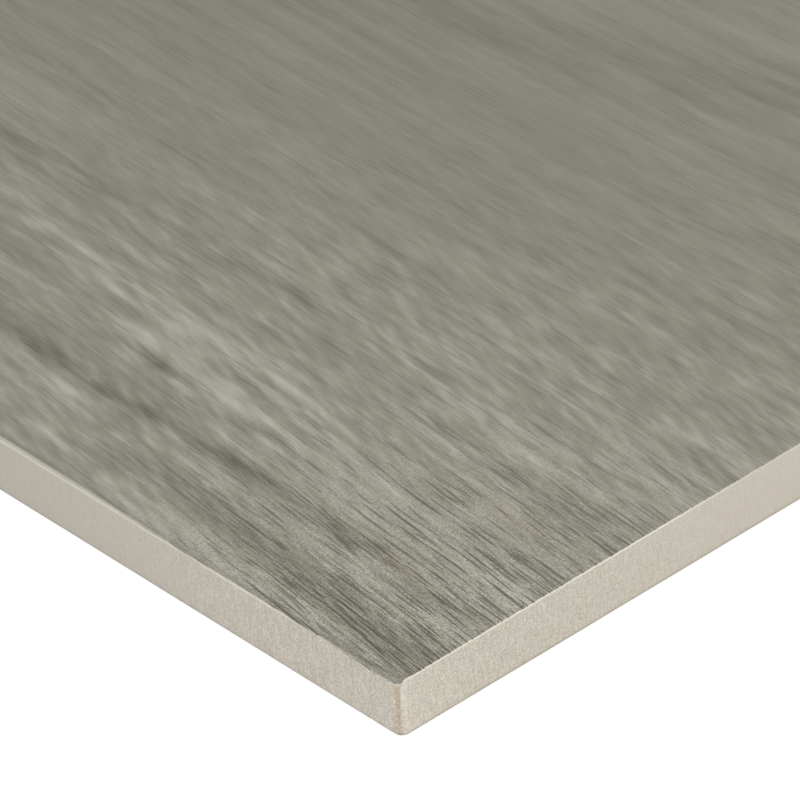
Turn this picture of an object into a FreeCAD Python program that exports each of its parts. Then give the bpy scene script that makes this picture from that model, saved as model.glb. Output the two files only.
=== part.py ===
import FreeCAD, Part
import math
import os

# Wood look porcelain plank tile: one dust-pressed, glazed and fired piece, in millimetres.
# The plank lies on its back, with its length along X, its width along Y and its decorated face up.
# The origin is the middle of the back, on the plane that the back's ribs stand on.

# Driving dimensions of the plank
plank_length = 900.0
plank_width = 200.0
plank_thickness = 9.0
corner_radius = 1.5  # the upright edge at each of the four corners
face_arris_radius = 0.35  # where the glazed face turns over into the sides
back_arris_radius = 0.7  # where the sides turn under

# Driving dimensions of the key on the back: shallow pockets between raised ribs, which the adhesive fills
key_depth = 0.6
key_pitch = 25.0
rib_width = 3.0  # across the top of a rib, between two pockets
border_width = 12.0  # least flat margin between the pockets and the plank's edges
key_draft = 35.0  # degrees that each pocket wall leans, so that the press punch comes out
key_corner_cut = 1.5  # how much each pocket's upright corners are cut back along both walls

cutter_overrun = 1.0  # how far each pocket's cutter stands out below the back


def rounded_rectangle(length, width, radius, height):
    """A closed wire round the origin at the given height: four straight runs joined by four quarter arcs."""
    half_x = length / 2
    half_y = width / 2
    quarters = [(1, 1, 0), (-1, 1, 90), (-1, -1, 180), (1, -1, 270)]
    up = FreeCAD.Vector(0, 0, 1)
    arcs = []
    for side_x, side_y, start in quarters:
        centre = FreeCAD.Vector(side_x * (half_x - radius), side_y * (half_y - radius), height)
        arcs.append(Part.makeCircle(radius, centre, up, start, start + 90))
    edges = []
    for arc, following in zip(arcs, arcs[1:] + arcs[:1]):
        edges.append(arc)
        edges.append(Part.makeLine(arc.Vertexes[-1].Point, following.Vertexes[0].Point))
    return Part.Wire(edges)


def edges_at(solid, height):
    """The edges that lie flat at one height."""
    found = []
    for edge in solid.Edges:
        box = edge.BoundBox
        if abs(box.ZMin - height) < 1e-6 and abs(box.ZMax - height) < 1e-6:
            found.append(edge)
    return found


def pressed_blank():
    """The plank before its back is keyed: the outline raised to full thickness, with both arrises rounded."""
    outline = rounded_rectangle(plank_length, plank_width, corner_radius, 0)
    blank = Part.Face(outline).extrude(FreeCAD.Vector(0, 0, plank_thickness))
    face_arris = min(face_arris_radius, corner_radius * 0.9)
    back_arris = min(back_arris_radius, corner_radius * 0.9)
    blank = blank.makeFillet(face_arris, edges_at(blank, plank_thickness))
    return blank.makeFillet(back_arris, edges_at(blank, 0))


def pocket_count(span):
    """How many pockets fit along a span and leave at least the border at each end."""
    return int((span - 2 * border_width + rib_width) // key_pitch)


def pocket_centres(span):
    """Where the pockets stand along a span, in one centred row."""
    count = pocket_count(span)
    return [(place - (count - 1) / 2) * key_pitch for place in range(count)]


def pocket_half_width(height):
    """Half the distance between a pocket's opposite walls at a height above the back: they lean inwards."""
    return (key_pitch - rib_width) / 2 - height * math.tan(math.radians(key_draft))


def key_pocket():
    """The cutter for one pocket: a square block that narrows on its way up, with its leaning corners cut back."""
    low = pocket_half_width(-cutter_overrun)
    top = pocket_half_width(key_depth)
    block = Part.makeWedge(-low, -cutter_overrun, -low, -top, -top, low, key_depth, low, top, top)
    block.rotate(FreeCAD.Vector(0, 0, 0), FreeCAD.Vector(1, 0, 0), 90)
    leaning = [edge for edge in block.Edges if edge.BoundBox.ZLength > key_depth]
    return block.makeChamfer(key_corner_cut, leaning)


def plank():
    """The finished plank as one solid: the blank with the pockets pressed into its back."""
    cutter = key_pocket()
    pockets = []
    for x in pocket_centres(plank_length):
        for y in pocket_centres(plank_width):
            pocket = cutter.copy()
            pocket.translate(FreeCAD.Vector(x, y, 0))
            pockets.append(pocket)
    return pressed_blank().cut(Part.makeCompound(pockets)).Solids[0]


def main():
    os.makedirs("parts", exist_ok=True)
    piece = plank()
    print("plank valid:", piece.isValid(), "faces:", len(piece.Faces))
    print("plank volume in cubic centimetres:", round(piece.Volume / 1000, 1))
    piece.exportStep("parts/plank_tile.step")


main()
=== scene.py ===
import math

import bpy
import numpy as np
from mathutils import Matrix, Vector


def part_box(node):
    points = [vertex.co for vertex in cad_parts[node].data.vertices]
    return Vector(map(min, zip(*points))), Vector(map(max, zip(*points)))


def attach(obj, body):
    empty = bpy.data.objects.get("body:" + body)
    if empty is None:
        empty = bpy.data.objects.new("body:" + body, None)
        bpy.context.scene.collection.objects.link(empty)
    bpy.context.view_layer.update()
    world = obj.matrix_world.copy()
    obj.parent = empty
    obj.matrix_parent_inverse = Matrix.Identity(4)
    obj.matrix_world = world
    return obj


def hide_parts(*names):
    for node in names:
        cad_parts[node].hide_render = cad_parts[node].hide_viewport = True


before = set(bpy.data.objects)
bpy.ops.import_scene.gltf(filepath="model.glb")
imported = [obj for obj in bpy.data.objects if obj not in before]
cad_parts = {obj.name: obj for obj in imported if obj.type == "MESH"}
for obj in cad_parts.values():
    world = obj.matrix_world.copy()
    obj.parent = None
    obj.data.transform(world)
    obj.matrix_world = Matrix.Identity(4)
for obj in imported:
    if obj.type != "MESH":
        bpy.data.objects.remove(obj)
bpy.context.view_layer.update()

# Wood look porcelain plank: a printed and glazed face, a bare porcelain edge and a keyed back.
# Lengths below are in millimetres. The mesh is written in metres.
mm = 0.001
nodeLow, nodeHigh = (np.array(corner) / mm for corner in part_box("plank_tile"))
halfLength = (nodeHigh[0] - nodeLow[0]) / 2
halfWidth = (nodeHigh[1] - nodeLow[1]) / 2
thickness = nodeHigh[2] - nodeLow[2]

plankForm = {
    "cornerRadius": 1.5,   # the upright edge at each corner
    "faceArris": 0.35,     # where the glaze turns over into the sides
    "backArris": 0.7,
    "cellsAlong": 216,
    "cellsAcross": 244,
    "cornerCells": 4,      # cells across each corner square
    "fineAlong": 0.3,      # smallest cell against the mean one, at the photographed corner
    "fineAcross": 0.5,
    "arrisSteps": 5,
    "sideSteps": 7,
    "nickDepth": 0.04,     # deepest nick along the face's arris
    "nickReach": 1.1,      # how far down the side a nick dies out
    "sideWave": 0.03,      # unevenness of the pressed sides
}

backForm = {
    "pitch": 25.0,
    "pocketsAlong": 35,
    "pocketsAcross": 7,
    "mouthHalf": 11.0,     # half a pocket's mouth
    "cornerRadius": 1.9,
    "depth": 0.6,
    "draft": 35.0,         # degrees
    "lip": 0.12,           # softened edge of each rib
}

reliefForm = {
    "swell": 0.05,         # broad soft waves of the pressed face
    "groove": 0.13,        # dark bands lie this much lower
    "furrow": 0.08,        # single soft furrows along the fibres
}

# Bands of the grain that stand out by the photographed corner. Each starts this far from the long
# front edge at the short end and drifts by so many mm in each mm along. from and to are distances
# from the short end. strength below 0 is dark, and beads is how far a band is broken into spots.
bandNames = ("fromEdge", "drift", "halfWidth", "from", "to", "strength", "beads")
grainBands = {
    "paleLip": (-2.0, 0.1, 4.1, -20, 145, 0.5, 0.3),
    "brownStreak": (5.2, 0.1, 3.0, -20, 83, -0.7, 0.1),
    "brownCore": (3.4, 0.1, 0.8, -20, 78, -0.45, 0.2),
    "paleFrontLine": (11.4, 0.03, 2.2, -20, 145, 0.38, 0.5),
    "darkFleckLine": (16.9, 0.01, 1.05, -20, 165, -0.65, 0.8),
    "paleField": (21.0, 0.12, 3.7, -20, 125, 0.28, 1.0),
    "paleCloud": (27.9, 0.05, 6.3, 44, 155, 0.2, 1.4),
    "fleckRow": (29.8, -0.02, 1.1, -20, 33, -0.6, 0.8),
    "brownField": (39.4, 0.06, 2.5, -20, 78, -0.35, 0.5),
    "thinDarkLine": (50.9, -0.035, 1.05, 59, 160, -0.55, 1.1),
    "duskBand": (142.5, -0.35, 5.8, 29, 170, -0.38, 0.5),
    "paleTop": (151.1, -0.31, 4.8, 49, 116, 0.2, 0.5),
}

# Single dark flecks beside the thin dark line, each at (from the short end, from the long front edge)
darkFlecks = [
    (92.0, 17.3), (86.6, 17.4), (76.1, 17.3), (69.0, 17.5), (58.0, 16.5),
    (53.3, 17.3), (45.4, 17.5), (29.7, 16.6), (75.1, 25.4),
]
fleckForm = {
    "halfLength": 2.6,
    "halfWidth": 0.95,
    "slant": 0.18,         # how far a fleck leans off the fibres in each mm along
    "strength": 1.6,
}


def softNoise(x, y, seed):
    # Value noise from -1 to 1: random numbers on a unit lattice, blended between the four nearest
    # by 3t^2 - 2t^3.
    table = np.random.default_rng(seed).uniform(-1, 1, (64, 64))
    cellX, cellY = np.floor(x).astype(int), np.floor(y).astype(int)
    shareX, shareY = x - cellX, y - cellY
    shareX, shareY = (share * share * (3 - 2 * share) for share in (shareX, shareY))
    low = table[cellX % 64, cellY % 64] * (1 - shareX) + table[(cellX + 1) % 64, cellY % 64] * shareX
    high = table[cellX % 64, (cellY + 1) % 64] * (1 - shareX) + table[(cellX + 1) % 64, (cellY + 1) % 64] * shareX
    return low * (1 - shareY) + high * shareY


def smoothStep(value, low, high):
    # 0 below low and 1 above high, with 3t^2 - 2t^3 between them.
    share = np.clip((value - low) / (high - low), 0, 1)
    return share * share * (3 - 2 * share)


def fanLines(x, y):
    # The distance from the front edge, with lines that fan out towards the short end: they fall by
    # 0.12 mm in each mm by the front edge and rise by up to 0.3 mm in the far part of the width.
    fromEnd = 90 * np.tanh((halfLength - x) / 90)
    fromEdge = y + halfWidth
    fall = 0.12 * np.exp(-(fromEdge / 48) ** 2) - 0.3 * smoothStep(fromEdge, 60, 150)
    return fromEdge - fall * fromEnd


def fibreLines(x, y):
    # Across-the-fibres coordinate: the fan plus two slow waves.
    wander = 4.5 * softNoise(x / 260 + 7, y / 150 + 3, 11) + 0.8 * softNoise(x / 85, y / 40, 12)
    return fanLines(x, y) + wander


def ringLines(x, y):
    # Growth-ring coordinate: the fan, and an arch figure in the far half:
    # sqrt(y^2 + c^2) + 0.3 y round a centre line.
    heart = y - 14 - 6 * softNoise(x / 190, 0 * y, 13)
    arch = np.sqrt(heart ** 2 + (np.maximum(60 - x, 0) / 13) ** 2 + 4) + 0.3 * heart + 86
    share = smoothStep(-x, -230, -40)
    wander = 2.2 * softNoise(x / 150, y / 60, 14) + 0.6 * softNoise(x / 45, y / 18, 15)
    return fanLines(x, y) * (1 - share) + arch * share + wander * smoothStep(halfLength - x, 0, 160)


def cornerDistance(x, y):
    # Distance from the photographed corner.
    return np.hypot(halfLength - x, y + halfWidth)


def figureStrength(x, y):
    # How strongly the figure shows, from about 0.4 to 1: 0.55 + 0.45 exp(-(d / 95)^2) with the
    # distance d from the photographed corner, full again from 300 mm on, and a slow noise.
    d = cornerDistance(x, y)
    strength = 0.55 + 0.45 * np.exp(-(d / 95) ** 2) + 0.42 * smoothStep(d, 190, 300)
    return strength + 0.12 * softNoise(x / 120, y / 60, 24)


def crispness(x, y):
    # How crisp the finest print looks: 1 by the photographed corner, 0.13 from 74 mm on, and 0.63
    # again from 300 mm on.
    d = cornerDistance(x, y)
    return 1 - 0.87 * smoothStep(d, 14, 74) + 0.5 * smoothStep(d, 190, 300)


def grainTone(x, y):
    # Light and dark of the print, -1.7 to 0.6: three noises in (x, ring), long along the plank,
    # duller away from the photographed corner, plus two mottles of spots round that corner, a painted
    # shade that darkens the print from 25 to 120 mm from that corner and eases off from 190 mm on, the
    # named bands, each exp(-(distance / half width)^2) between its start and stop, and the single
    # flecks, each exp(-(distance along / half length)^2 - (distance off / half width)^2).
    ring = ringLines(x, y)
    fromEnd = halfLength - x
    d = cornerDistance(x, y)
    tone = 0.4 * softNoise(x / 310, ring / 11, 21) + 0.35 * softNoise(x / 130, ring / 4.2, 22)
    tone = tone + 0.35 * softNoise(x / 42, ring / 2.2, 23)
    tone = tone * figureStrength(x, y) * (0.6 + 0.4 * smoothStep(d, 90, 190))
    tone = tone + 0.2 * softNoise(x / 9 + ring / 5, ring / 2.4, 27) * np.exp(-(d / 115) ** 2)
    mottle = softNoise(x / 5 + ring / 3, ring / 1.5, 28) * smoothStep(d, 20, 60)
    tone = tone + 0.32 * mottle * np.exp(-(d / 120) ** 2)
    # painted shade: the print darkens from 25 to 120 mm from that corner and eases back from 190 mm on, standing in
    # for light that falls off
    tone = tone - 0.4 * (smoothStep(d, 25, 120) - 0.8 * smoothStep(d, 190, 300))
    spots = 1.3 * softNoise(x / 6 - ring / 4, ring / 1.5, 25) - 0.1
    fromEdge = y + halfWidth + 0.5 * softNoise(x / 31, y / 12, 26)
    for values in grainBands.values():
        band = dict(zip(bandNames, values))
        middle = band["fromEdge"] + band["drift"] * fromEnd
        across = np.exp(-((fromEdge - middle) / band["halfWidth"]) ** 2)
        within = smoothStep(fromEnd, band["from"], band["from"] + 20)
        within = within * (1 - smoothStep(fromEnd, band["to"] - 25, band["to"]))
        tone = tone + band["strength"] * across * within * (1 + band["beads"] * spots)
    for flecksEnd, flecksEdge in darkFlecks:
        away = (fromEnd - flecksEnd) / fleckForm["halfLength"]
        off = (fromEdge - flecksEdge - fleckForm["slant"] * (fromEnd - flecksEnd)) / fleckForm["halfWidth"]
        tone = tone - fleckForm["strength"] * np.exp(-away ** 2 - off ** 2)
    return np.clip(tone, -1.7, 0.6)


def faceDepth(x, y, tone):
    # How far the face lies below its highest plane: a slow swell, lower dark bands, and furrows
    # where a noise drawn out along the fibres passes its upper third.
    across = fibreLines(x, y)
    swell = reliefForm["swell"] * (0.5 + 0.5 * softNoise(x / 90, across / 14, 31))
    groove = reliefForm["groove"] * np.clip(-tone, 0, 1)
    furrow = smoothStep(softNoise(x / 16, across / 1.6, 32), 0.3, 0.8)
    return swell + groove + reliefForm["furrow"] * furrow


def edgeWear(x, y):
    # How far the glaze is worn off the arris, from 0 to 1: about 0.85 with a noise on the short
    # ends and round the corners, and on the long sides it grows from 0 to nearly that over 26 mm.
    wear = 0.85 + 0.25 * softNoise(x / 11, y / 9, 44)
    onLongSide = np.abs(y) > halfWidth - 1.2
    fromEnd = halfLength - np.abs(x)
    onSide = 0.95 * smoothStep(fromEnd, 3, 26) + 0.7 * (1 - smoothStep(fromEnd, 0.7, 1.7))
    return np.clip(wear * np.where(onLongSide, onSide, 1), 0, 1)


def paleLine(x, y):
    # How pale the last 0.7 mm of the face is along the long sides: from 0.3 by the corner to 1 from
    # 70 mm on. Where it is low, by the corner, the print there is painted lighter instead as painted light.
    nearLongSide = 1 - smoothStep(halfWidth - np.abs(y), 2, 4)
    return nearLongSide * (0.3 + 0.7 * smoothStep(halfLength - np.abs(x), 30, 70))


def gridLine(half, cells, fine, fineEnd):
    # Places along one side: even steps inside both corner squares, and between them steps that
    # grow from the fine end, share = fine * s + (1 - fine) * s^2.
    radius = plankForm["cornerRadius"] - plankForm["faceArris"]
    s = np.linspace(0, 1, cells + 1)
    middle = radius + 2 * (half - radius) * (fine * s + (1 - fine) * s * s)
    corner = np.linspace(0, radius, plankForm["cornerCells"] + 1)[:-1]
    fromFineEnd = np.concatenate([corner, middle, 2 * half - corner[::-1]])
    return np.sort(fineEnd * (half - fromFineEnd))


def roundCorners(x, y, halfX, halfY, radius):
    # Turns each corner square of the grid into a quarter disc: p becomes p sqrt(1 - q^2 / 2).
    p = np.clip((np.abs(x) - halfX + radius) / radius, 0, 1)
    q = np.clip((np.abs(y) - halfY + radius) / radius, 0, 1)
    moveX = radius * p * (np.sqrt(1 - q * q / 2) - 1)
    moveY = radius * q * (np.sqrt(1 - p * p / 2) - 1)
    return x + np.sign(x) * moveX, y + np.sign(y) * moveY


def edgeProfile():
    # The side from face to back as (out, height): a quarter circle, a straight run and a larger
    # quarter circle. out is 0 on the outermost plane.
    top, bottom = plankForm["faceArris"], plankForm["backArris"]
    turn = np.linspace(0, np.pi / 2, plankForm["arrisSteps"] + 1)
    run = np.linspace(thickness - top, bottom, plankForm["sideSteps"] + 1)[1:-1]
    out = np.concatenate([top * (np.sin(turn) - 1), 0 * run, bottom * (np.cos(turn) - 1)])
    height = np.concatenate([thickness - top * (1 - np.cos(turn)), run, bottom * (1 - np.sin(turn))])
    return out, height


def stitchLoops(outer, outerTurn, inner, innerTurn):
    # Triangles between two loops in the same turning order: every edge is joined to the point of
    # the other loop that was passed last. They face down.
    outerNext, innerNext = np.roll(outer, -1), np.roll(inner, -1)
    lastInner = inner[np.searchsorted(innerTurn, np.roll(outerTurn, -1), "left") - 1]
    lastOuter = outer[np.searchsorted(outerTurn, np.roll(innerTurn, -1), "right") - 1]
    return np.concatenate([
        np.stack([outer, lastInner, outerNext], 1),
        np.stack([inner, innerNext, lastOuter], 1),
    ])


def pocketRing(half, radius, corner, height):
    # Twelve points round one pocket: each corner as (half, half - radius), a point on its
    # diagonal, and (half - radius, half), turned by quarters.
    quarter = np.array([[half, half - radius], [corner, corner], [half - radius, half]])
    ring = np.concatenate([quarter, quarter[:, ::-1] * [-1, 1], -quarter, quarter[:, ::-1] * [1, -1]])
    return np.column_stack([ring, np.full(12, height)])


def keyedBack():
    # The lattice of ribs and pockets: rings of twelve points round each pocket's centre, from the
    # middle of the ribs over the lip, down the leaning wall and onto the pocket's floor.
    half, radius, depth = backForm["mouthHalf"], backForm["cornerRadius"], backForm["depth"]
    lip = backForm["lip"]
    lean = math.tan(math.radians(backForm["draft"]))
    rows = [(half + lip, 0), (half - lip * lean, lip), (half - (depth - lip) * lean, depth - lip)]
    rows.append((half - depth * lean - lip, depth))
    pitchHalf = backForm["pitch"] / 2
    mouthInset = radius
    rings = [pocketRing(pitchHalf, pitchHalf - (half + lip - mouthInset), pitchHalf, 0)]
    for side, height in rows:
        onArc = side - radius + radius / math.sqrt(2)
        rings.append(pocketRing(side, radius, onArc, height))
    cell = np.array(rings)
    placesX = (np.arange(backForm["pocketsAlong"]) - (backForm["pocketsAlong"] - 1) / 2) * backForm["pitch"]
    placesY = (np.arange(backForm["pocketsAcross"]) - (backForm["pocketsAcross"] - 1) / 2) * backForm["pitch"]
    centres = np.stack(np.meshgrid(placesX, placesY, [0.0], indexing="ij"), -1).reshape(-1, 1, 1, 3)
    points = centres + cell[None]
    count, ringCount = points.shape[0], points.shape[1]
    index = np.arange(count * ringCount * 12).reshape(count, ringCount, 12)
    after = np.roll(index, -1, axis=2)
    strips = np.stack([index[:, :-1], index[:, 1:], after[:, 1:], after[:, :-1]], -1).reshape(-1, 4)
    floors = index[:, -1, ::-1]
    flat = points.reshape(-1, 3)
    _, first, merged = np.unique(np.round(flat, 4), axis=0, return_index=True, return_inverse=True)
    merged = merged.reshape(-1)
    return flat[first], merged[strips], merged[floors]


def buildPlank():
    form = plankForm
    inset = form["faceArris"]
    radius = form["cornerRadius"] - inset
    halfX, halfY = halfLength - inset, halfWidth - inset
    lineX = gridLine(halfX, form["cellsAlong"], form["fineAlong"], 1)
    lineY = gridLine(halfY, form["cellsAcross"], form["fineAcross"], -1)
    flatX, flatY = np.meshgrid(lineX, lineY)
    x, y = roundCorners(flatX, flatY, halfX, halfY, radius)
    tone = grainTone(x, y)
    toRim = np.minimum(halfX - np.abs(x), halfY - np.abs(y))
    depth = faceDepth(x, y, tone) * (0.5 + 0.5 * smoothStep(toRim, 0, 2))
    rowsY, rowsX = x.shape
    index = np.arange(rowsX * rowsY).reshape(rowsY, rowsX)
    faceQuads = np.stack([index[:-1, :-1], index[:-1, 1:], index[1:, 1:], index[1:, :-1]], -1).reshape(-1, 4)
    rim = np.concatenate([index[0, :-1], index[:-1, -1], index[-1, :0:-1], index[:0:-1, 0]])
    print("face grid:", rowsX, "by", rowsY, "points")

    # outward direction at each rim point: away from the nearest corner centre or side
    rimX, rimY = x.ravel()[rim], y.ravel()[rim]
    fromX = rimX - np.clip(rimX, -halfX + radius, halfX - radius)
    fromY = rimY - np.clip(rimY, -halfY + radius, halfY - radius)
    reach = np.hypot(fromX, fromY)
    outX, outY = fromX / reach, fromY / reach
    out, height = edgeProfile()
    down = np.concatenate([[0], np.cumsum(np.hypot(np.diff(out), np.diff(height)))])

    # nicks where grain breaks out of the face's arris, dying out down the side
    nick = smoothStep(softNoise(rimX / 4.3, rimY / 2.7, 41), 0.35, 1.0)
    nick = nick + 0.3 * smoothStep(softNoise(rimX / 1.7, rimY / 1.1, 42), 0.45, 1.0)
    fade = 1 - smoothStep(down, 0, form["nickReach"])
    rimDepth = depth.ravel()[rim]
    sideWave = form["sideWave"] * (0.5 + 0.5 * softNoise(rimX[None] / 7 + 0 * height[:, None], rimY[None] / 7 + height[:, None] / 5, 43))
    inward = form["nickDepth"] * nick[None] * fade[:, None] + sideWave * smoothStep(down, 0, 2)[:, None]
    push = out[:, None] + inset - inward
    sideX, sideY = rimX + outX * push, rimY + outY * push
    sideZ = height[:, None] - (rimDepth + 0.6 * form["nickDepth"] * nick)[None] * fade[:, None]
    faceZ = thickness - depth
    faceZ.ravel()[rim] = sideZ[0]
    x.ravel()[rim], y.ravel()[rim] = sideX[0], sideY[0]

    points = [np.stack([x.ravel(), y.ravel(), faceZ.ravel()], 1)]
    points.append(np.stack([sideX[1:], sideY[1:], sideZ[1:]], -1).reshape(-1, 3))
    rows, around = len(out), len(rim)
    side = np.concatenate([rim[None], rowsX * rowsY + np.arange((rows - 1) * around).reshape(rows - 1, around)])
    sideNext = np.roll(side, -1, axis=1)
    sideQuads = np.stack([side[:-1], side[1:], sideNext[1:], sideNext[:-1]], -1).reshape(-1, 4)

    backPoints, backQuads, backFloors = keyedBack()
    backStart = rowsX * rowsY + (rows - 1) * around
    points.append(backPoints)
    latticeX = backForm["pitch"] * backForm["pocketsAlong"] / 2
    latticeY = backForm["pitch"] * backForm["pocketsAcross"] / 2
    onEdge = (np.abs(backPoints[:, 0]) > latticeX - 0.01) | (np.abs(backPoints[:, 1]) > latticeY - 0.01)
    inner = np.flatnonzero(onEdge)
    innerTurn = np.arctan2(backPoints[inner, 1] / latticeY, backPoints[inner, 0] / latticeX)
    outerTurn = np.arctan2(sideY[-1] / halfWidth, sideX[-1] / halfLength)
    inner, innerTurn = inner[np.argsort(innerTurn)], np.sort(innerTurn)
    outer, outerTurn = side[-1][np.argsort(outerTurn)], np.sort(outerTurn)
    border = stitchLoops(outer, outerTurn, backStart + inner, innerTurn)
    print("side rows:", rows, "points round the rim:", around, "back points:", len(backPoints))

    vertices = np.concatenate(points) * mm
    quads = np.concatenate([faceQuads, sideQuads, backStart + backQuads])
    mesh = bpy.data.meshes.new("plankTile")
    mesh.from_pydata(vertices.tolist(), [], quads.tolist() + border.tolist() + (backStart + backFloors).tolist())
    backCount = len(backQuads) + len(border) + len(backFloors)
    onBack = np.zeros(len(mesh.polygons), int)
    onBack[-backCount:] = 1
    mesh.polygons.foreach_set("material_index", onBack)
    mesh.polygons.foreach_set("use_smooth", onBack == 0)

    # grain is (along, across the fibres, tone), finish is (down the side, place round the corner,
    # wear of the arris), and shares is (the figure's strength, crispness, pale line). On the face,
    # down is below 0 by the distance from the rim. The place round a corner is 0 in its middle,
    # below 0 on the long side and above 0 on the short end.
    backZeros = np.zeros((len(backPoints), 3))
    faceGrain = np.stack([x.ravel(), fibreLines(x, y).ravel(), tone.ravel()], 1)
    over = down[1:, None, None] * np.stack([outX, outY], 1)[None]
    sideGrain = np.broadcast_to(faceGrain[rim][None], (rows - 1, around, 3)).copy()
    sideGrain[..., :2] += over
    sideGrain = sideGrain.reshape(-1, 3)
    grain = np.concatenate([faceGrain, sideGrain, backZeros])
    flatPoints = np.concatenate(points)
    roundCorner = (np.abs(flatPoints[:, 0]) - halfLength) - (np.abs(flatPoints[:, 1]) - halfWidth)
    downAll = np.zeros(len(flatPoints))
    downAll[:rowsX * rowsY] = np.maximum(np.maximum(np.abs(x) - halfX, np.abs(y) - halfY), -4).ravel()
    downAll[rim] = 0
    downAll[rowsX * rowsY:backStart] = np.repeat(down[1:], around)
    wear = edgeWear(flatPoints[:, 0], flatPoints[:, 1])
    finish = np.stack([downAll, roundCorner, wear], 1)
    allX, allY = flatPoints[:, 0], flatPoints[:, 1]
    shares = np.stack([figureStrength(allX, allY), crispness(allX, allY), paleLine(allX, allY)], 1)
    for name, values in (("grain", grain), ("finish", finish), ("shares", shares)):
        attribute = mesh.attributes.new(name, "FLOAT_VECTOR", "POINT")
        attribute.data.foreach_set("vector", values.astype(np.float32).ravel())
    calm = mesh.attributes.new("cornerCalm", "FLOAT", "POINT")
    calm.data.foreach_set("value", np.exp(-(cornerDistance(allX, allY) / 2.6) ** 2).astype(np.float32))
    mesh.update()
    piece = bpy.data.objects.new("plankTile", mesh)
    bpy.context.scene.collection.objects.link(piece)
    return piece


# Small helpers for the material nodes

def addNode(tree, kind, values=None, **settings):
    made = tree.nodes.new(kind)
    for name, value in settings.items():
        setattr(made, name, value)
    for place, value in (values or {}).items():
        if isinstance(value, bpy.types.NodeSocket):
            tree.links.new(value, made.inputs[place])
        else:
            made.inputs[place].default_value = value
    return made


def calc(tree, operation, *values):
    return addNode(tree, "ShaderNodeMath", dict(enumerate(values)), operation=operation).outputs[0]


def mask(tree, value, low, high, fromValue=0.0, toValue=1.0):
    # A soft step of a value between low and high.
    places = {"Value": value, "From Min": low, "From Max": high, "To Min": fromValue, "To Max": toValue}
    return addNode(tree, "ShaderNodeMapRange", places, interpolation_type="SMOOTHSTEP").outputs[0]


def mixColour(tree, share, first, second, blend="MIX"):
    places = {0: share, 6: first, 7: second}
    return addNode(tree, "ShaderNodeMix", places, data_type="RGBA", blend_type=blend).outputs[2]


def paint(red, green, blue):
    # An sRGB colour from 0 to 255 as the linear colour that a shader takes.
    shares = [value / 255 for value in (red, green, blue)]
    linear = [share / 12.92 if share <= 0.04045 else ((share + 0.055) / 1.055) ** 2.4 for share in shares]
    return (*linear, 1.0)


def streaks(tree, along, across, length, width, seed, detail=2.0):
    # Noise drawn out along the fibres: one wave is length mm long and width mm wide.
    where = addNode(tree, "ShaderNodeCombineXYZ", {
        0: calc(tree, "DIVIDE", along, length),
        1: calc(tree, "DIVIDE", across, width),
        2: seed,
    }).outputs[0]
    return addNode(tree, "ShaderNodeTexNoise", {"Vector": where, "Scale": 1.0, "Detail": detail}).outputs[0]


def grains(tree, size, detail=1.0, stretch=(1, 1, 1)):
    # Noise in Object coordinates, with one wave of size mm times the stretch on each axis.
    where = place(tree, size, stretch)
    return addNode(tree, "ShaderNodeTexNoise", {"Vector": where, "Scale": 1.0, "Detail": detail}).outputs[0]


def place(tree, size, stretch=(1, 1, 1)):
    # Object coordinates counted in steps of size mm times the stretch on each axis.
    where = addNode(tree, "ShaderNodeTexCoord").outputs["Object"]
    scale = [1 / (size * mm * axis) for axis in stretch]
    return addNode(tree, "ShaderNodeVectorMath", {0: where, 1: scale}, operation="MULTIPLY").outputs[0]


def dots(tree, size):
    # Three random numbers for each cell of size mm: even light and dark dots.
    cell = addNode(tree, "ShaderNodeTexVoronoi", {"Vector": place(tree, size), "Scale": 1.0})
    return addNode(tree, "ShaderNodeSeparateColor", {0: cell.outputs["Color"]}).outputs


def dashes(tree, along, across, length, width, seed, share):
    # Needle strokes, at most one in each cell of length by width mm: 1 where the distance from the
    # cell's point is small against a radius of 0.15 to 0.35, which differs from stroke to stroke,
    # and a little below 0 just outside it, which gives each stroke a paler edge.
    where = addNode(tree, "ShaderNodeCombineXYZ", {
        0: calc(tree, "DIVIDE", along, length),
        1: calc(tree, "MULTIPLY_ADD", across, 1 / width, seed),
    }).outputs[0]
    cell = addNode(tree, "ShaderNodeTexVoronoi", {"Vector": where, "Scale": 1.0}, voronoi_dimensions="2D")
    chance, size, weight = addNode(tree, "ShaderNodeSeparateColor", {0: cell.outputs["Color"]}).outputs
    reach = calc(tree, "DIVIDE", cell.outputs["Distance"], calc(tree, "MULTIPLY_ADD", size, 0.2, 0.15))
    shown = mask(tree, calc(tree, "SUBTRACT", share, chance), 0.0, 0.05)
    shown = calc(tree, "MULTIPLY", shown, calc(tree, "MULTIPLY_ADD", weight, 0.4, 0.6))
    profile = calc(tree, "SUBTRACT", mask(tree, reach, 0.4, 1.0, 1.0, 0.0), mask(tree, reach, 0.85, 1.15, 0.0, 0.3))
    profile = calc(tree, "ADD", profile, mask(tree, reach, 1.2, 1.9, 0.0, 0.3))
    return calc(tree, "MULTIPLY", shown, profile)


printLook = {
    "deepBrown": (98, 94, 83),
    "brownGrey": (122, 120, 107),
    "greige": (138, 136, 123),
    "paleGrey": (174, 172, 160),
    "warmTint": (137, 127, 112),
    "warmShade": (116, 107, 95),
    "pore": (62, 60, 50),
    "halo": (183, 186, 174),
    "rim": (224, 218, 204),
    "lip": (199, 198, 184),
    "roughness": 0.52,
    "poreDepth": 0.09,
}

bodyLook = {
    "clay": (203, 196, 184),
    "clayDark": (193, 185, 172),
    "clayPale": (213, 207, 196),
    "stain": (178, 153, 127),
    "footShade": (150, 144, 132),
    "roughness": 0.82,
}


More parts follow.
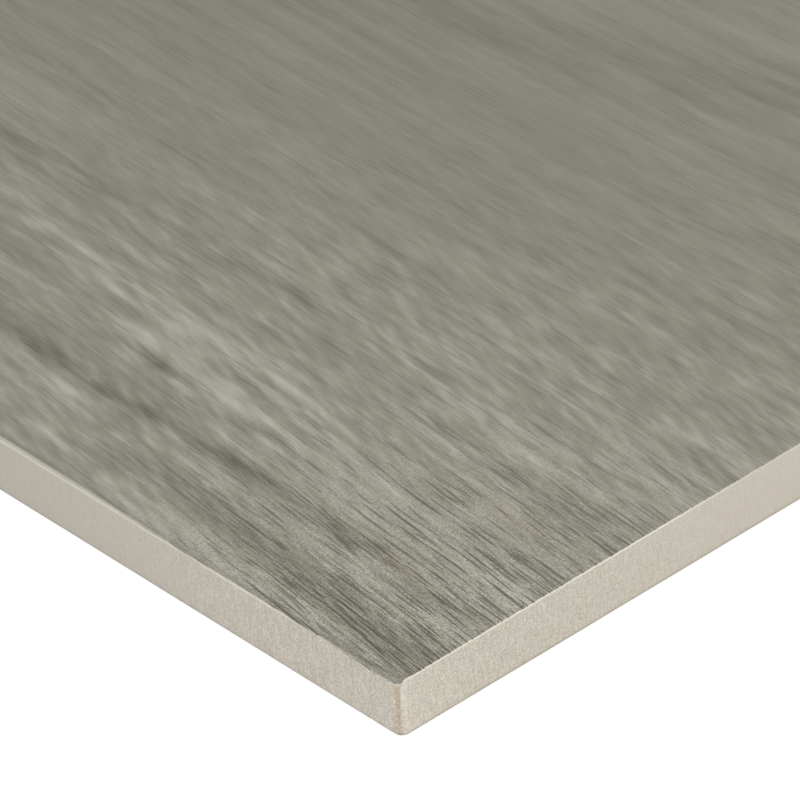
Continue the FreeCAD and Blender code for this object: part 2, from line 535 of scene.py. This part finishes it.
def makePorcelain():
    # Printed glaze on the face, a pale worn rim, and the bare body on the sides.
    look, body = printLook, bodyLook
    material = bpy.data.materials.new("printedPorcelain")
    material.use_nodes = True
    tree = material.node_tree
    shader = tree.nodes["Principled BSDF"]
    grain = addNode(tree, "ShaderNodeAttribute", attribute_name="grain").outputs["Vector"]
    finish = addNode(tree, "ShaderNodeAttribute", attribute_name="finish").outputs["Vector"]
    shares = addNode(tree, "ShaderNodeAttribute", attribute_name="shares").outputs["Vector"]
    calm = addNode(tree, "ShaderNodeAttribute", attribute_name="cornerCalm").outputs["Fac"]
    along, fibre, tone = addNode(tree, "ShaderNodeSeparateXYZ", {0: grain}).outputs
    down, roundCorner, wear = addNode(tree, "ShaderNodeSeparateXYZ", {0: finish}).outputs
    figure, crisp, paleEdge = addNode(tree, "ShaderNodeSeparateXYZ", {0: shares}).outputs

    # fibres waver by a few tenths of a millimetre
    waver = calc(tree, "SUBTRACT", streaks(tree, along, fibre, 13, 3.0, 7.0, 2.0), 0.5)
    across = calc(tree, "MULTIPLY_ADD", waver, 0.9, fibre)

    # tone of the print: the mesh's bands, then long and short streaks and hair-fine fibres
    longStreak = streaks(tree, along, across, 36, 2.4, 1.0, 3.0)
    shortStreak = streaks(tree, along, across, 12, 0.9, 2.0, 3.0)
    hair = streaks(tree, along, across, 7, 0.3, 3.0, 1.0)
    fine = calc(tree, "MULTIPLY_ADD", crisp, 0.78, 0.22)
    streak = calc(tree, "MULTIPLY", calc(tree, "SUBTRACT", shortStreak, 0.5), calc(tree, "MULTIPLY", fine, 0.8))
    slow = calc(tree, "MULTIPLY_ADD", crisp, 0.45, 0.4)
    streak = calc(tree, "MULTIPLY_ADD", calc(tree, "SUBTRACT", longStreak, 0.5), slow, streak)
    value = calc(tree, "MULTIPLY_ADD", tone, 0.24, calc(tree, "MULTIPLY_ADD", figure, 0.2, 0.45))
    value = calc(tree, "MULTIPLY_ADD", crisp, -0.045, value)
    value = calc(tree, "MULTIPLY_ADD", streak, figure, value)
    slanted = calc(tree, "MULTIPLY_ADD", along, 0.18, across)
    tick = calc(tree, "SUBTRACT", streaks(tree, along, slanted, 6, 1.5, 6.0, 1.0), 0.5)
    tickShare = calc(tree, "MULTIPLY", calc(tree, "SUBTRACT", 1.0, crisp), calc(tree, "MULTIPLY_ADD", figure, 1.8, -0.9))
    value = calc(tree, "MULTIPLY_ADD", tick, tickShare, value)
    value = calc(tree, "MULTIPLY_ADD", calc(tree, "SUBTRACT", hair, 0.5), calc(tree, "MULTIPLY", fine, 0.22), value)
    paleFibre = dashes(tree, along, across, 11, 0.75, 41.0, calc(tree, "MULTIPLY", crisp, 0.45))
    value = calc(tree, "MULTIPLY_ADD", paleFibre, calc(tree, "MULTIPLY", crisp, 0.22), value)
    value = calc(tree, "MULTIPLY_ADD", calm, 0.12, value)
    ramp = addNode(tree, "ShaderNodeValToRGB", {0: value})
    stops = ramp.color_ramp.elements
    stops[0].position, stops[0].color = 0.14, paint(*look["deepBrown"])
    stops[1].position, stops[1].color = 0.9, paint(*look["paleGrey"])
    for position, name in ((0.38, "brownGrey"), (0.56, "greige")):
        stop = stops.new(position)
        stop.color = paint(*look[name])
    warm = mask(tree, streaks(tree, along, across, 45, 5.0, 4.0, 1.0), 0.45, 0.75)
    warm = calc(tree, "MULTIPLY", warm, calc(tree, "MULTIPLY_ADD", crisp, 0.6, -0.12))
    printed = mixColour(tree, warm, ramp.outputs[0], paint(*look["warmTint"]))
    shade = calc(tree, "MULTIPLY", mask(tree, tone, -0.9, -0.2, 0.4, 0.0), crisp)
    printed = mixColour(tree, shade, printed, paint(*look["warmShade"]))

    # pores: long, middling and short needles and soft flecks, crowded into dark clusters
    cluster = calc(tree, "SUBTRACT", streaks(tree, along, across, 30, 4.0, 5.0, 2.0), 0.5)
    crowd = calc(tree, "MULTIPLY_ADD", cluster, 2.4, calc(tree, "MULTIPLY_ADD", figure, 0.8, -0.3))
    crowd = calc(tree, "MULTIPLY_ADD", tone, -0.55, calc(tree, "MULTIPLY_ADD", crisp, 0.3, crowd))
    longNeedle = dashes(tree, along, across, 21, 0.88, 3.0, crowd)
    middleNeedle = dashes(tree, along, across, 14, 0.74, 17.0, crowd)
    shortNeedle = dashes(tree, along, across, 8, 0.58, 11.0, calc(tree, "MULTIPLY", crowd, 0.7))
    fleckShare = calc(tree, "MULTIPLY_ADD", tone, -1.0, calc(tree, "MULTIPLY_ADD", crisp, 0.4, -0.6))
    fleck = dashes(tree, along, across, 9, 1.9, 23.0, fleckShare)
    pores = calc(tree, "MAXIMUM", longNeedle, calc(tree, "MULTIPLY", middleNeedle, 0.9))
    pores = calc(tree, "MAXIMUM", pores, calc(tree, "MULTIPLY", shortNeedle, 0.8))
    halo = calc(tree, "MINIMUM", calc(tree, "MINIMUM", longNeedle, middleNeedle), 0.0)
    halo = calc(tree, "MULTIPLY", halo, mask(tree, pores, 0.0, 0.2, 1.0, 0.0))
    pores = calc(tree, "MULTIPLY", pores, mask(tree, hair, 0.2, 0.5, 0.65, 1.0))
    pores = calc(tree, "MAXIMUM", pores, calc(tree, "MULTIPLY", fleck, 0.85))
    pores = calc(tree, "MULTIPLY", calc(tree, "MAXIMUM", pores, 0.0), fine)
    pores = calc(tree, "MULTIPLY", pores, calc(tree, "MULTIPLY_ADD", calm, -1.0, 1.0))
    haloShare = calc(tree, "MULTIPLY", halo, calc(tree, "MULTIPLY", crisp, -1.0))
    printed = mixColour(tree, haloShare, printed, paint(*look["halo"]))
    inked = calc(tree, "MULTIPLY", pores, calc(tree, "MULTIPLY", figure, 0.8))
    printed = mixColour(tree, inked, printed, paint(*look["pore"]))

    # dots of the inkjet print, most of them lighter or darker and some warmer
    lightness, warmth, _ = dots(tree, 0.16)
    dither = addNode(tree, "ShaderNodeCombineColor", {
        0: mask(tree, lightness, 0.0, 1.0, 0.66, 1.34),
        1: mask(tree, lightness, 0.0, 1.0, 0.645, 1.345),
        2: mask(tree, calc(tree, "MULTIPLY_ADD", warmth, -0.3, lightness), -0.3, 1.0, 0.625, 1.365),
    }).outputs[0]
    printed = mixColour(tree, crisp, printed, dither, "MULTIPLY")

    # bare porcelain: fine upright striations, sandy grit, a stain down each corner, a painted shade
    # along the foot and a painted light falloff along the plank
    striation = grains(tree, 0.24, 2.0, (1, 1, 9))
    sand, sandWarmth, _ = dots(tree, 0.15)
    upright = mask(tree, striation, 0.35, 0.65)
    clay = mixColour(tree, upright, paint(*body["clayDark"]), paint(*body["clayPale"]))
    clay = mixColour(tree, calc(tree, "MULTIPLY_ADD", crisp, -0.55, 0.95), clay, paint(*body["clay"]))
    fromPale = calc(tree, "ABSOLUTE", calc(tree, "SUBTRACT", roundCorner, 0.95))
    clay = mixColour(tree, mask(tree, fromPale, 0.25, 0.7, 0.7, 0.0), clay, paint(*body["clayPale"]))
    slant = calc(tree, "MULTIPLY_ADD", down, 0.03, 0.12)
    fromStain = calc(tree, "ABSOLUTE", calc(tree, "ADD", roundCorner, slant))
    topBlot = mask(tree, down, 0.8, 2.4, 0.35, 0.0)
    stainWidth = calc(tree, "MULTIPLY_ADD", grains(tree, 0.9, 3.0), 1.2, calc(tree, "SUBTRACT", topBlot, 0.12))
    stain = mask(tree, calc(tree, "SUBTRACT", stainWidth, fromStain), -0.12, 0.22)
    stain = calc(tree, "MULTIPLY", stain, mask(tree, grains(tree, 0.5, 2.0), 0.35, 0.62, 0.35, 0.75))
    stain = calc(tree, "MULTIPLY", stain, mask(tree, down, 0.5, 0.8))
    clay = mixColour(tree, stain, clay, paint(*body["stain"]))
    # painted shade: the side darkens towards the foot, where the back's arris turns down
    footShadeStart = thickness - 0.5
    footShade = mask(tree, down, footShadeStart - 0.2, footShadeStart + 0.4, 0.0, 0.5)
    clay = mixColour(tree, footShade, clay, paint(*body["footShade"]))
    # painted shade: the clay is darker away from the short end at +x and from the front long side, standing in for
    # light that falls off
    paintedFalloff = mask(tree, along, halfLength - 95, halfLength, 0.86, 1.0)
    acrossPlank = addNode(tree, "ShaderNodeSeparateXYZ", {0: place(tree, 1.0)}).outputs[1]
    paintedFalloff = calc(tree, "MULTIPLY", paintedFalloff, mask(tree, acrossPlank, -halfWidth, 20 - halfWidth, 1.0, 0.955))
    shade = addNode(tree, "ShaderNodeCombineColor", {0: paintedFalloff, 1: paintedFalloff, 2: paintedFalloff}).outputs[0]
    clay = mixColour(tree, 1.0, clay, shade, "MULTIPLY")
    sandColour = addNode(tree, "ShaderNodeCombineColor", {
        0: mask(tree, sand, 0.0, 1.0, 0.82, 1.18),
        1: mask(tree, sand, 0.0, 1.0, 0.82, 1.18),
        2: mask(tree, calc(tree, "MULTIPLY_ADD", sandWarmth, 0.2, sand), 0.0, 1.2, 0.78, 1.21),
    }).outputs[0]
    clay = mixColour(tree, calc(tree, "MULTIPLY_ADD", crisp, 0.9, 0.1), clay, sandColour, "MULTIPLY")

    # the glaze ends on the arris, with a pale rim where it is worn, a pale line by the long sides with a
    # painted shade line inside it, and by the corner the long sides' arris has its print painted lighter as painted
    # light
    unworn = calc(tree, "SUBTRACT", 1.0, wear)
    onLongSide = mask(tree, paleEdge, 0.0, 0.3)
    wave = calc(tree, "MULTIPLY_ADD", unworn, 0.18, calc(tree, "MULTIPLY_ADD", onLongSide, 0.07, 0.06))
    ragged = calc(tree, "MULTIPLY_ADD", calc(tree, "SUBTRACT", grains(tree, 0.8, 4.0), 0.5), wave, down)
    grit = calc(tree, "MULTIPLY_ADD", unworn, 0.12, 0.04)
    ragged = calc(tree, "MULTIPLY_ADD", calc(tree, "SUBTRACT", sand, 0.5), grit, ragged)
    ragged = calc(tree, "MULTIPLY_ADD", pores, -0.06, ragged)
    ragged = calc(tree, "MULTIPLY_ADD", unworn, -0.05, ragged)
    onCorner = mask(tree, calc(tree, "ABSOLUTE", roundCorner), 0.5, 1.4, 1.0, 0.0)
    ragged = calc(tree, "MULTIPLY_ADD", onCorner, -0.42, ragged)
    lipStart = calc(tree, "MULTIPLY_ADD", paleEdge, -0.65, 0.2)
    pastLip = calc(tree, "SUBTRACT", ragged, lipStart)
    lip = calc(tree, "MULTIPLY", mask(tree, pastLip, -0.15, 0.35), onLongSide)
    edgeShade = calc(tree, "MULTIPLY", mask(tree, pastLip, -0.8, -0.2, 0.0, 0.3), onLongSide)
    printed = mixColour(tree, edgeShade, printed, paint(*look["deepBrown"]))
    # painted light: by the corner the print on the long sides' arris is multiplied by 1.22 against the arris's own
    # shade; further along the pale lip colour takes over
    lipAndPaintedLight = mixColour(tree, 0.35, paint(*look["lip"]), printed)
    arrisPaintedLight = mixColour(tree, 1.0, printed, (1.22, 1.22, 1.22, 1), "MULTIPLY")
    lipAndPaintedLight = mixColour(tree, mask(tree, paleEdge, 0.3, 0.8), arrisPaintedLight, lipAndPaintedLight)
    surface = mixColour(tree, lip, printed, lipAndPaintedLight)
    rim = calc(tree, "MULTIPLY_ADD", onLongSide, 0.06, ragged)
    rim = calc(tree, "MULTIPLY", mask(tree, rim, 0.17, 0.26), wear)
    rim = calc(tree, "MULTIPLY", rim, calc(tree, "MULTIPLY_ADD", paleEdge, -0.5, 1.05))
    bare = mask(tree, ragged, 0.38, 0.5)
    surface = mixColour(tree, rim, surface, paint(*look["rim"]))
    surface = mixColour(tree, bare, surface, clay)
    tree.links.new(surface, shader.inputs["Base Color"])

    rough = calc(tree, "MULTIPLY_ADD", pores, 0.12, look["roughness"])
    rough = calc(tree, "MULTIPLY_ADD", lightness, 0.06, rough)
    rough = addNode(tree, "ShaderNodeMix", {0: bare, 2: rough, 3: body["roughness"]}, data_type="FLOAT").outputs[0]
    tree.links.new(rough, shader.inputs["Roughness"])
    shader.inputs["Specular IOR Level"].default_value = 0.4

    # relief: pores cut in, fibres stand up a little, fine grit everywhere
    speckle = grains(tree, 0.22, 2.0)
    relief = calc(tree, "MULTIPLY", pores, -1.0)
    relief = calc(tree, "MULTIPLY_ADD", shortStreak, 0.5, relief)
    relief = calc(tree, "MULTIPLY_ADD", speckle, 0.25, relief)
    sideRelief = calc(tree, "MULTIPLY_ADD", striation, 0.3, calc(tree, "MULTIPLY", speckle, 0.4))
    relief = addNode(tree, "ShaderNodeMix", {0: bare, 2: relief, 3: sideRelief}, data_type="FLOAT").outputs[0]
    bump = addNode(tree, "ShaderNodeBump", {"Height": relief, "Strength": 1.0, "Distance": look["poreDepth"] * mm})
    tree.links.new(bump.outputs[0], shader.inputs["Normal"])
    return material


def makeBack():
    # The unglazed back: the body's clay with a thin chalky kiln wash on the ribs.
    body = bodyLook
    material = bpy.data.materials.new("keyedBack")
    material.use_nodes = True
    tree = material.node_tree
    shader = tree.nodes["Principled BSDF"]
    cloud = grains(tree, 14.0, 4.0)
    grit = grains(tree, 0.35, 3.0)
    clay = mixColour(tree, mask(tree, cloud, 0.3, 0.7), paint(*body["clayDark"]), paint(*body["clay"]))
    clay = mixColour(tree, mask(tree, grit, 0.5, 0.75, 0.0, 0.4), clay, paint(*body["clayPale"]))
    place = addNode(tree, "ShaderNodeTexCoord").outputs["Object"]
    height = addNode(tree, "ShaderNodeSeparateXYZ", {0: place}).outputs[2]
    onRib = mask(tree, height, 0.1 * mm, 0.4 * mm, 1.0, 0.0)
    wash = calc(tree, "MULTIPLY", onRib, mask(tree, grains(tree, 3.0, 5.0), 0.42, 0.6))
    clay = mixColour(tree, calc(tree, "MULTIPLY", wash, 0.7), clay, paint(222, 218, 210))
    tree.links.new(clay, shader.inputs["Base Color"])
    tree.links.new(mask(tree, grit, 0.2, 0.8, 0.78, 0.92), shader.inputs["Roughness"])
    bump = addNode(tree, "ShaderNodeBump", {"Height": grit, "Strength": 1.0, "Distance": 0.04 * mm})
    tree.links.new(bump.outputs[0], shader.inputs["Normal"])
    return material


plank = buildPlank()
plank.data.materials.append(makePorcelain())
plank.data.materials.append(makeBack())
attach(plank, "root")
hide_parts("plank_tile")
print("plank made:", len(plank.data.vertices), "points,", len(plank.data.polygons), "faces")

# Camera: a long lens that looks down on the near corner, as in the photo
cameraPlace = {
    "azimuth": 51.24,      # degrees round from the front
    "elevation": 36.0,
    "roll": 5.18,
    "aimFromEnd": 45.93,   # mm from the short end
    "aimFromEdge": 41.63,  # mm from the long front edge
    "distance": 2500.0,
    "lens": 858.46,
}


def placeCamera(place):
    azimuth, elevation = math.radians(place["azimuth"]), math.radians(place["elevation"])
    back = Vector((math.sin(azimuth) * math.cos(elevation), -math.cos(azimuth) * math.cos(elevation), math.sin(elevation)))
    right = Vector((math.cos(azimuth), math.sin(azimuth), 0))
    upright = Matrix((right, back.cross(right), back)).transposed()
    roll = Matrix.Rotation(-math.radians(place["roll"]), 3, "Z")
    aim = Vector((halfLength - place["aimFromEnd"], place["aimFromEdge"] - halfWidth, thickness)) * mm
    camera = bpy.data.objects.new("camera", bpy.data.cameras.new("camera"))
    camera.matrix_world = Matrix.Translation(aim + back * place["distance"] * mm) @ (upright @ roll).to_4x4()
    camera.data.lens = place["lens"]
    camera.data.clip_start, camera.data.clip_end = 0.1, 100
    bpy.context.scene.collection.objects.link(camera)
    bpy.context.scene.camera = camera


placeCamera(cameraPlace)

# Studio: a white floor and surround, one large soft lamp over the short end and a weaker one in front
studio = {
    "surround": 0.5,
    "floorColour": 0.8,
    "floorLift": 0.62,
    "keyPlace": (1.81, -0.43, 1.69),
    "keySize": 1.8,
    "keyPower": 30.5,
    "keyColour": (1.0, 1.0, 0.95),
    "fillPlace": (-1.4, -2.2, 1.8),
    "fillSize": 2.5,
    "fillPower": 24.0,
    "fillColour": (1.0, 0.995, 1.06),
}


def seenDirectly(tree):
    # 1 for rays from the camera and for mirrored or clear ones, and 0 for the rest.
    rays = addNode(tree, "ShaderNodeLightPath").outputs
    seen = calc(tree, "MAXIMUM", rays["Is Camera Ray"], rays["Is Glossy Ray"])
    return calc(tree, "MAXIMUM", seen, rays["Is Transmission Ray"])


def makeStudio():
    world = bpy.data.worlds.new("surround")
    world.use_nodes = True
    bpy.context.scene.world = world
    strength = addNode(world.node_tree, "ShaderNodeMix", {0: seenDirectly(world.node_tree), 2: studio["surround"], 3: 1.0}, data_type="FLOAT")
    background = world.node_tree.nodes["Background"]
    background.inputs["Color"].default_value = (1, 1, 1, 1)
    world.node_tree.links.new(strength.outputs[0], background.inputs["Strength"])

    bpy.ops.mesh.primitive_plane_add(size=60, location=(0, 0, -0.00005))
    floor = bpy.context.object
    floor.name = "floor"
    material = bpy.data.materials.new("floorPaint")
    material.use_nodes = True
    tree = material.node_tree
    paper = (studio["floorColour"],) * 3 + (1,)
    plain = addNode(tree, "ShaderNodeBsdfDiffuse", {"Color": paper}).outputs[0]
    lift = addNode(tree, "ShaderNodeEmission", {"Strength": calc(tree, "MULTIPLY", seenDirectly(tree), studio["floorLift"])}).outputs[0]
    both = addNode(tree, "ShaderNodeAddShader", {0: plain, 1: lift}).outputs[0]
    tree.links.new(both, tree.nodes["Material Output"].inputs["Surface"])
    floor.data.materials.append(material)

    for name in ("key", "fill"):
        lamp = bpy.data.lights.new(name + "Lamp", "AREA")
        lamp.size, lamp.energy = studio[name + "Size"], studio[name + "Power"]
        lamp.color = studio[name + "Colour"]
        holder = bpy.data.objects.new(name + "Lamp", lamp)
        holder.location = studio[name + "Place"]
        holder.rotation_euler = Vector(studio[name + "Place"]).to_track_quat("Z", "Y").to_euler()
        holder.visible_camera = False
        bpy.context.scene.collection.objects.link(holder)


makeStudio()
bpy.context.scene.view_settings.view_transform = "Standard"
print("camera and studio made")
